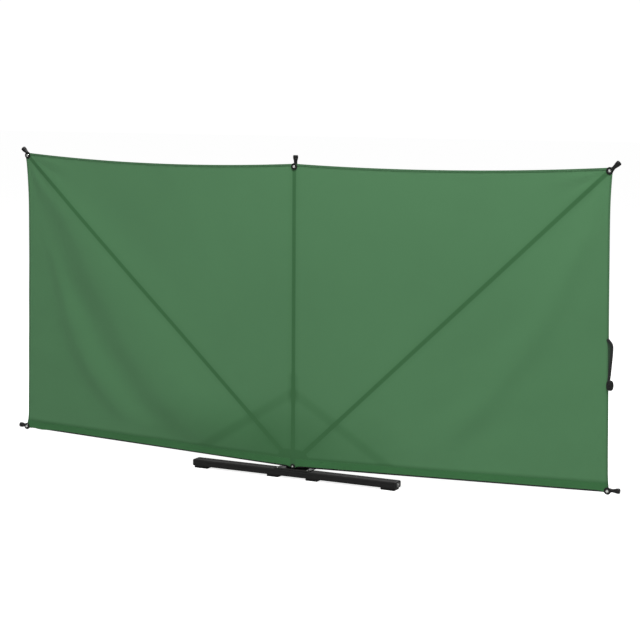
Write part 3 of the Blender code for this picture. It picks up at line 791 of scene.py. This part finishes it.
def stitch_row(word, which, inset):
    """A row of short stitches at an inset from an edge: low blocks along it, all from one array."""
    x, z, inward = edge_line(word, which, 600)
    x, z = x + inward[0] * inset, z + inward[1] * inset
    length = np.concatenate([[0.0], np.cumsum(np.hypot(np.diff(x), np.diff(z)))])
    at = np.arange(STITCH_ENDS, length[-1] - STITCH_ENDS, STITCH_PITCH)
    middle_x, middle_z = np.interp(at, length, x), np.interp(at, length, z)
    clear = np.min([np.hypot(middle_x - spot[0], middle_z - spot[2]) for spot in EYELETS.values()], axis=0)
    at, middle_x, middle_z = (values[clear > STITCH_CLEARANCE] for values in (at, middle_x, middle_z))
    next_x, next_z = np.interp(at + 0.002, length, x), np.interp(at + 0.002, length, z)
    ahead = np.array([next_x - middle_x, next_z - middle_z])
    ahead /= np.hypot(*ahead)
    centre = on_cloth(middle_x, middle_z, HEM_LIFT[which])
    forward = np.stack([ahead[0], np.zeros_like(at), ahead[1]], axis=-1)
    sideways = np.stack([-ahead[1], np.zeros_like(at), ahead[0]], axis=-1)
    half_long, half_wide, high = STITCH_SIZE[0] / 2, STITCH_SIZE[1] / 2, STITCH_SIZE[2]
    pattern = [(-1, -1, 0), (1, -1, 0), (1, 1, 0), (-1, 1, 0)]
    pattern += [(-0.6, -0.5, 1), (0.6, -0.5, 1), (0.6, 0.5, 1), (-0.6, 0.5, 1)]
    corners = [
        centre + a * half_long * forward + b * half_wide * sideways - (c * high - 0.0001) * BACK
        for a, b, c in pattern
    ]
    points = np.stack(corners, axis=1).reshape(-1, 3)
    block = np.array([(0, 1, 2, 3), (4, 7, 6, 5), (0, 4, 5, 1), (1, 5, 6, 2), (2, 6, 7, 3), (3, 7, 4, 0)])
    faces = (block[None] + 8 * np.arange(len(at))[:, None, None]).reshape(-1, 4)
    return points, faces.tolist()


def make_stitches(word):
    """All the stitches of half the cloth: two rows on each hem."""
    rows = []
    for which, width in HEM_WIDTH.items():
        rows += [stitch_row(word, which, HEM_INSIDE), stitch_row(word, which, width - HEM_INSIDE)]
    made = piece(f"{word}_stitches", rows, THREAD)
    return fold_with_fan(keep_place(made))


def half_area(side):
    """Flat area of half the cloth, from the crossed products of its outline."""
    x, z = np.concatenate([outline(side), [[0.0, hem_height(0.0)]]]).T
    return 0.5 * abs(np.dot(x, np.roll(z, -1)) - np.dot(z, np.roll(x, -1)))


def make_half(word):
    """One half of the cloth with its hems and stitches, and a description of it as a stretched sheet."""
    cloth = make_cloth(word)
    trims = [make_hem(word, which) for which in HEM_WIDTH] + [make_stitches(word)]
    width = LOWER_X + EDGE_MARGIN
    height = UPRIGHT_Z + EDGE_MARGIN - hem_height(0.0)
    hung_on = [f"{word}_lower_stud", f"{word}_diagonal_stud", "upright_stud", "base_stud"]
    return cloth, dict(
        flat=(width, height),
        held="stretched",
        rests_on=hung_on,
        area=half_area(SIDES[word]),
        with_pieces=trims,
    )


# ---------------------------------------------------------------- arms, tips and eyelets


def make_tube(name):
    """An arm's tube: a round bar along its axis, with its ends eased in a little."""
    node = f"{name}_tube"
    start, end = node_span(name, node)
    foot, direction = LINES[name]
    ease, r = 0.0006, TUBE_RADIUS
    profile = [(r - ease, start), (r, start + ease)]
    profile += [(r, at) for at in np.linspace(start + 0.02, end - 0.02, 12)]
    profile += [(r, end - ease), (r - ease, end)]
    made = piece(f"{name}_tube_coated", [turned(foot, direction, profile, 40)], TUBE_COAT)
    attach(made, BODY_OF[node])
    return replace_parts(made, node)


def make_tip(name):
    """A moulded cap: socket, waist and rounded head along the arm, with two grip rings, and the peg for
    the eyelet standing forward from it."""
    node = f"{name}_tip_cap"
    start, end = node_span(name, node)
    foot, direction = LINES[name]
    low, _ = low_high(node)
    eyelet = along(name, EYELETS[name])
    head = np.linspace(0.0, math.pi / 2, 7)
    profile = [(0.0090, start), (0.0098, start + 0.0008), (0.0098, eyelet + 0.0085)]
    profile += [(0.0093, eyelet + 0.0105), (0.0083, eyelet + 0.0140), (0.0079, eyelet + 0.0165)]
    profile += [(0.0079, eyelet + 0.0205), (0.0088, eyelet + 0.0270), (0.0102, eyelet + 0.0325)]
    profile += [(0.0115, eyelet + 0.0365), (0.0109, eyelet + 0.0374), (0.0116, eyelet + 0.0384)]
    profile += [(0.0118 - 0.0050 * (1 - math.cos(t)), end - 0.004 * (1 - math.sin(t))) for t in head]
    peg_start = ARM_Y - 0.004
    peg = [(0.0066, 0.0), (0.0066, peg_start - low[1] - 0.0006), (0.0060, peg_start - low[1])]
    centre = foot + eyelet * direction
    parts = [turned(foot, direction, profile), turned(centre - 0.004 * BACK, -BACK, peg)]
    made = piece(f"{name}_tip", parts, PLASTIC)
    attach(made, BODY_OF[node])
    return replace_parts(made, node)


EYELET_HOLE = 0.47  # of an eyelet's outer radius


def make_eyelet(name):
    """A rolled eyelet: a ring with a rounded front before the cloth, and a flat washer behind it."""
    node = f"{name}_eyelet"
    low, high = low_high(node)
    outer = (high[0] - low[0]) / 2
    hole = outer * EYELET_HOLE
    turn = np.linspace(0.0, 2 * math.pi, 16, endpoint=False)
    mid, wide, deep = (outer + hole) / 2, (outer - hole) / 2, (high[1] - low[1]) / 2 + 0.0003
    bulge = np.sign(np.sin(turn)) * np.abs(np.sin(turn)) ** 0.7
    section = np.column_stack([mid + wide * np.cos(turn), deep * bulge])
    front = EYELETS[name] * (1.0, 0.0, 1.0) + (low[1] + high[1]) / 2 * BACK
    parts = [ring(front, -BACK, section)]
    rim = outer * 0.93
    washer = [(hole, 0.0), (rim, 0.0), (outer * 0.96, 0.0005), (rim, 0.0009), (hole, 0.0009)]
    behind = EYELETS[name] * (1.0, 0.0, 1.0) + (CLOTH_Y + CLOTH_THICKNESS + 0.0002) * BACK
    parts.append(ring(behind, BACK, washer))
    made = piece(f"{name}_eyelet_rolled", parts, EYELET_METAL)
    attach(made, BODY_OF[node])
    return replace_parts(made, node)


def make_stud(name):
    """A polished button on the peg's end: a low dome whose height falls with the cosine of a quarter turn."""
    holder = "hub_saddle" if name == "base" else f"{name}_tip_cap"
    low, _ = low_high(holder)
    front = low[1] if name != "base" else low_high("upright_tip_cap")[0][1]
    radius = 0.0062 if name != "base" else 0.0048
    quarter = np.linspace(0.0, math.pi / 2, 9)[:-1]
    profile = [(radius - 0.0005, -0.0004), (radius, 0.0002)]
    profile += [(radius * math.cos(t), 0.0004 + 0.0016 * math.sin(t)) for t in quarter]
    profile += [(0.0004, 0.0020)]
    place = EYELETS[name] * (1.0, 0.0, 1.0) + front * BACK
    made = piece(f"{name}_stud", [turned(place, -BACK, profile)], STUD_METAL)
    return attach(made, BODY_OF[holder])


def rivet(place, axis, radius, height):
    """A domed rivet head."""
    quarter = np.linspace(0.0, math.pi / 2, 7)[:-1]
    profile = [(radius * 0.96, 0.0), (radius, height * 0.2)]
    profile += [(radius * math.cos(t), height * (0.25 + 0.75 * math.sin(t))) for t in quarter]
    return turned(place, axis, profile + [(radius * 0.06, height)], 24)


def screw(place, axis, radius, height):
    """A pan head with a round driver recess: over the rim, down the recess wall and across its floor."""
    shares = [(0.97, 0.0), (1.0, 0.25), (0.97, 0.7), (0.8, 1.0), (0.42, 1.0), (0.36, 0.45), (0.05, 0.40)]
    return turned(place, axis, [(radius * out, height * up) for out, up in shares], 24)


# ---------------------------------------------------------------- foot and hub


def bar_section(half_width, low, high):
    """Section of the foot's box profile: rounded corners and a shallow groove along each flank."""
    r, groove, deep = 0.0035, 0.0016, 0.0011
    quarter = np.linspace(0.0, math.pi / 2, 6)
    groove_z = low + 0.60 * (high - low)
    flank = [(0.0, -groove), (deep, -groove * 0.5), (deep, groove * 0.5), (0.0, groove)]
    flank = [(inward, groove_z + up) for inward, up in flank]
    right = [(half_width - d, z) for d, z in flank]
    right += [(half_width - r + r * math.cos(t), high - r + r * math.sin(t)) for t in quarter]
    left = [(-half_width + r - r * math.sin(t), high - r + r * math.cos(t)) for t in quarter]
    left += [(-half_width + d, z) for d, z in reversed(flank)]
    left += [(-half_width + r - r * math.cos(t), low + r - r * math.sin(t)) for t in quarter]
    right_low = [(half_width - r + r * math.sin(t), low + r - r * math.cos(t)) for t in quarter]
    return np.array(right + left + right_low)


def make_profile_bar(node, name, lengthways):
    """The foot bar or the rear leg: the box section carried along its length."""
    low, high = low_high(node)
    crossways = 1 - lengthways
    section = bar_section((high[crossways] - low[crossways]) / 2, low[2], high[2])
    stations = np.linspace(low[lengthways], high[lengthways], 24)
    rings = np.zeros((len(stations), len(section), 3))
    rings[..., lengthways] = stations[:, None]
    rings[..., crossways] = (low[crossways] + high[crossways]) / 2 + section[:, 0]
    rings[..., 2] = section[:, 1]
    made = piece(name, [loft(rings)], BAR_COAT, sharp=30.0)
    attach(made, "stand")
    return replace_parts(made, node)


def make_end_cap(node, axis):
    """A black cap with a rounded end, and a grey plate with a screw let into it."""
    low, high = low_high(node)
    half = (high - low) / 2
    depth = float(half @ np.abs(axis))
    wide = half[1] if abs(axis[0]) > 0.5 else half[0]
    near, far = (low + high) / 2 - depth * axis, (low + high) / 2 + depth * axis
    block = end_block(near, axis, wide, half[2], 2 * depth, 0.0060, 0.0035)
    cap = piece(f"{node}_rounded", [block], PLASTIC)
    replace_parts(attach(cap, "stand"), node)
    plate = end_block(far - 0.0004 * axis, axis, wide * 0.52, half[2] * 0.64, 0.0012, 0.0030, 0.0006)
    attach(piece(f"{node}_plate", [plate], GREY_PLASTIC), "stand")
    head = screw(far + 0.0007 * axis, axis, 0.0036, 0.0010)
    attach(piece(f"{node}_screw", [head], ZINC), "stand")


def make_foot():
    """The foot bar and the rear leg with their pads and end caps."""
    make_profile_bar("foot_bar", "foot_bar_profile", 0)
    make_profile_bar("rear_leg", "rear_leg_profile", 1)
    pads = [f"foot_bar_{word}_{where}_pad" for word in SIDES for where in ("end", "inner")]
    for node in [*pads, "rear_leg_pad"]:
        dressed(node, RUBBER, edge=0.0008)
    make_end_cap("foot_bar_left_cap", -ACROSS)
    make_end_cap("foot_bar_right_cap", ACROSS)
    make_end_cap("rear_leg_cap", BACK)


def make_hub():
    """The saddle, the plate, the socket and the pin, with screws through the saddle and the plate."""
    for node in ("hub_saddle", "hub_plate", "upright_socket"):
        dressed(node, PLASTIC, edge=0.0008)
    dressed("hub_pin", ZINC, edge=0.0004)
    saddle_low, _ = low_high("hub_saddle")
    plate_low, plate_high = low_high("hub_plate")
    top = low_high("foot_bar")[1][2] + 0.0043
    heads = []
    for side in SIDES.values():
        for y in (saddle_low[1] + 0.012, ARM_Y + 0.012):
            heads.append(screw(np.array([side * 0.078, y, top - 0.0001]), UP, 0.0046, 0.0024))
        for z in (plate_low[2] + 0.014, plate_low[2] + 0.050):
            heads.append(screw(np.array([side * 0.046, plate_high[1] - 0.0001, z]), BACK, 0.0046, 0.0024))
    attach(piece("hub_screws", heads, ZINC), "stand")


def make_knuckles():
    """The knuckles of the slanting arms, each with two rivets on its rear."""
    for word in SIDES:
        for kind in ("lower", "diagonal"):
            name, node = f"{word}_{kind}", f"{word}_{kind}_knuckle"
            dressed(node, PLASTIC)
            foot, direction = LINES[name]
            heads = []
            for reach in (0.018, 0.038):
                place = foot + reach * direction
                place[1] = low_high(node)[1][1] - 0.0001
                heads.append(rivet(place, BACK, 0.0034, 0.0016))
            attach(piece(f"{name}_knuckle_rivets", heads, ZINC), BODY_OF[node])


def make_struts():
    """Struts, their brackets and the runner, with a domed rivet on each pivot and collars on the runner."""
    for word in SIDES:
        dressed(f"{word}_strut_bracket", PLASTIC, edge=0.0008)
        dressed(f"{word}_strut", TUBE_COAT, edge=0.0008)
        behind = low_high(f"{word}_strut")[1][1] - 0.0001
        heads = []
        for place in strut_line(word):
            place = np.array([place[0], behind, place[2]])
            heads.append(rivet(place, BACK, 0.0056, 0.0030))
        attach(piece(f"{word}_strut_rivets", heads, ZINC), f"{word}_strut")
    dressed("runner", PLASTIC, edge=0.0006)
    low, high = low_high("runner")
    axis_foot = LINES["upright"][0] * (1.0, 1.0, 0.0)
    collars = []
    for z in (low[2] + 0.004, high[2] - 0.004):
        section = [(0.0100, -0.004), (0.0114, -0.003), (0.0114, 0.003), (0.0100, 0.004), (0.0095, 0.0)]
        collars.append(ring(axis_foot, UP, [(out, z + up) for out, up in section]))
    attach(piece("runner_collars", collars, PLASTIC), "runner")


# ---------------------------------------------------------------- closing strap


# The two legs of the loop: (beyond the cloth's edge, height) of the points that draw its middle line
OUTER_LEG = (
    (0.0010, 0.580), (0.0055, 0.615), (0.0090, 0.655), (0.0130, 0.695),
    (0.0150, 0.725), (0.0135, 0.742), (0.0040, 0.753), (-0.0060, 0.7640),
)
INNER_LEG = ((-0.0020, 0.580), (0.0005, 0.640), (0.0025, 0.700), (0.0025, 0.735), (-0.0040, 0.757))
TOGGLE_HALF = (0.0165, 0.0072, 0.0225)  # across, deep and high
TOGGLE_BESIDE = 0.0075  # the toggle's middle beyond the cloth's edge


def flat_band(points, width, depth, steps=70):
    """A band of webbing in the plane of the screen: a smooth path beside the cloth's edge, widened at right
    angles to itself, and cupped forward across its width by a parabola."""
    path = smooth_path(points, steps)
    path[:, 0] += side_reach(path[:, 1], 1.0)
    ahead = np.gradient(path, axis=0)
    ahead /= np.linalg.norm(ahead, axis=1)[:, None]
    v = np.linspace(-1.0, 1.0, 9)
    x = path[:, :1] - ahead[:, 1:] * v * width / 2
    z = path[:, 1:] + ahead[:, :1] * v * width / 2
    y = np.broadcast_to(CLOTH_Y - depth - 0.0012 * (1 - v**2), x.shape)
    return shell(np.stack([x, y, z], axis=-1), 0.0012)


def make_strap():
    """The loop of webbing on the right edge and the oval toggle that hangs from it."""
    outer = piece("closing_loop", [flat_band(OUTER_LEG, 0.0125, 0.0030)], WEBBING, sharp=60.0)
    fold_with_fan(outer)
    # The inner leg carries the dark green of painted shade.
    band = flat_band(INNER_LEG, 0.0110, 0.0010)
    inner = piece("closing_loop_inner", [band], SHADED_GREEN_WEBBING, sharp=60.0)
    fold_with_fan(inner)
    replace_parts(outer, "closing_strap")
    low, high = low_high("strap_toggle")
    place = (low + high) / 2
    place[0] = side_reach(place[2], 1.0) + TOGGLE_BESIDE
    turn = np.linspace(0.0, 2 * math.pi, 32, endpoint=False)
    rings = []
    for t in np.linspace(-math.pi / 2, math.pi / 2, 17):
        swell = max(math.cos(t), 0.12) ** 0.6
        half = np.array(TOGGLE_HALF) * (swell, swell, math.sin(t))
        rings.append(place + half * np.stack([np.cos(turn), np.sin(turn), np.ones_like(turn)], axis=-1))
    eye_section = [(0.0050, 0.0), (0.0080, 0.0), (0.0074, 0.0014), (0.0056, 0.0014)]
    eye = ring(place - (TOGGLE_HALF[1] - 0.0004) * BACK, -BACK, eye_section)
    made = piece("closing_toggle", [loft(np.array(rings)), eye], PLASTIC)
    fold_with_fan(made)
    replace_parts(made, "strap_toggle")


# ---------------------------------------------------------------- stage


FLOOR_REACH = 60.0
FLOOR_GLOW = 0.85  # added where the camera sees the floor itself
SURROUND = (0.255, 0.78)  # light from all round, and what is added where the camera sees it
LAMPS = (  # (name, place, size, power); the strongest hangs high above the front
    ("key_lamp", (2.1, -2.6, 7.0), 1.6, 590.0),
    ("side_lamp", (8.0, -5.0, 3.5), 2.5, 50.0),
    ("fill_lamp", (-1.5, -6.0, 3.0), 3.0, 42.0),
    ("rear_lamp", (-1.5, 3.6, 2.8), 2.5, 60.0),
)


def make_stage():
    """A plain pale floor, a white surround and large soft lamps."""
    floor_mesh = bpy.data.meshes.new("studio_floor")
    corners = [(x * FLOOR_REACH, y * FLOOR_REACH, 0) for x, y in ((-1, -1), (1, -1), (1, 1), (-1, 1))]
    floor_mesh.from_pydata(corners, [], [(0, 1, 2, 3)])
    floor, graph, shader = blank_material("pale_floor", 0.9, Specular_IOR_Level=0.0)
    place = graph.add("ShaderNodeTexCoord").outputs["Object"]
    tone = graph.ranged(graph.noise(place, 0.7, 2.0), 0.3, 0.7, 0.99, 1.0)
    graph.tree.links.new(graph.tinted((0.55, 0.55, 0.55), tone), shader.inputs["Base Color"])
    shader.inputs["Emission Color"].default_value = (1.0, 1.0, 1.0, 1.0)
    glow = graph.add("ShaderNodeLightPath").outputs["Is Camera Ray"]
    graph.tree.links.new(graph.math("MULTIPLY", glow, FLOOR_GLOW), shader.inputs["Emission Strength"])
    floor_mesh.materials.append(floor)
    ground = bpy.data.objects.new("studio_floor", floor_mesh)
    bpy.context.scene.collection.objects.link(ground)

    world = bpy.data.worlds.new("studio")
    world.use_nodes = True
    surround = Graph(world.node_tree)
    background = world.node_tree.nodes["Background"]
    background.inputs["Color"].default_value = (1.0, 1.0, 1.0, 1.0)
    seen = surround.add("ShaderNodeLightPath").outputs["Is Camera Ray"]
    all_round, when_seen = SURROUND
    strength = surround.math("MULTIPLY_ADD", seen, when_seen, all_round)
    world.node_tree.links.new(strength, background.inputs["Strength"])
    bpy.context.scene.world = world
    bpy.context.scene.view_settings.view_transform = "Standard"

    aim = Vector((0.0, ARM_Y, 0.75))
    for name, where, size, power in LAMPS:
        light = bpy.data.lights.new(name, "AREA")
        light.size = size
        light.energy = power
        lamp = bpy.data.objects.new(name, light)
        lamp.location = where
        lamp.rotation_euler = (aim - Vector(where)).to_track_quat("-Z", "Y").to_euler()
        bpy.context.scene.collection.objects.link(lamp)


CAMERA_ANGLES = (26.42, 7.53, 0.39)  # azimuth, elevation and roll in degrees
CAMERA_AIM = (0.130, 0.755)  # (x, z) of the point looked at, just right of the middle
CAMERA_DISTANCE = 7.82
CAMERA_LENS = 95.74


def make_camera():
    """The camera, turned round the point it looks at by its angles."""
    azimuth, elevation, roll = (math.radians(a) for a in CAMERA_ANGLES)
    target = Vector((CAMERA_AIM[0], ARM_Y, CAMERA_AIM[1]))
    level = Vector((math.sin(azimuth), -math.cos(azimuth), 0.0))
    back = level * math.cos(elevation) + Vector((0.0, 0.0, math.sin(elevation)))
    right = Vector((math.cos(azimuth), math.sin(azimuth), 0.0))
    up = back.cross(right)
    turned_right = right * math.cos(roll) + up * math.sin(roll)
    turned_up = up * math.cos(roll) - right * math.sin(roll)
    data = bpy.data.cameras.new("camera")
    data.lens, data.sensor_width = CAMERA_LENS, 36.0
    data.clip_end = 200.0
    camera = bpy.data.objects.new("camera", data)
    axes = Matrix((turned_right, turned_up, back)).transposed().to_4x4()
    camera.matrix_world = Matrix.Translation(target + back * CAMERA_DISTANCE) @ axes
    bpy.context.scene.collection.objects.link(camera)
    bpy.context.scene.camera = camera


make_camera()
make_stage()
halves = [make_half(word) for word in SIDES]
for arm in ARMS:
    make_tube(arm)
    make_tip(arm)
for eyelet_name in EYELETS:
    make_eyelet(eyelet_name)
    make_stud(eyelet_name)
make_foot()
make_hub()
make_knuckles()
make_struts()
make_strap()
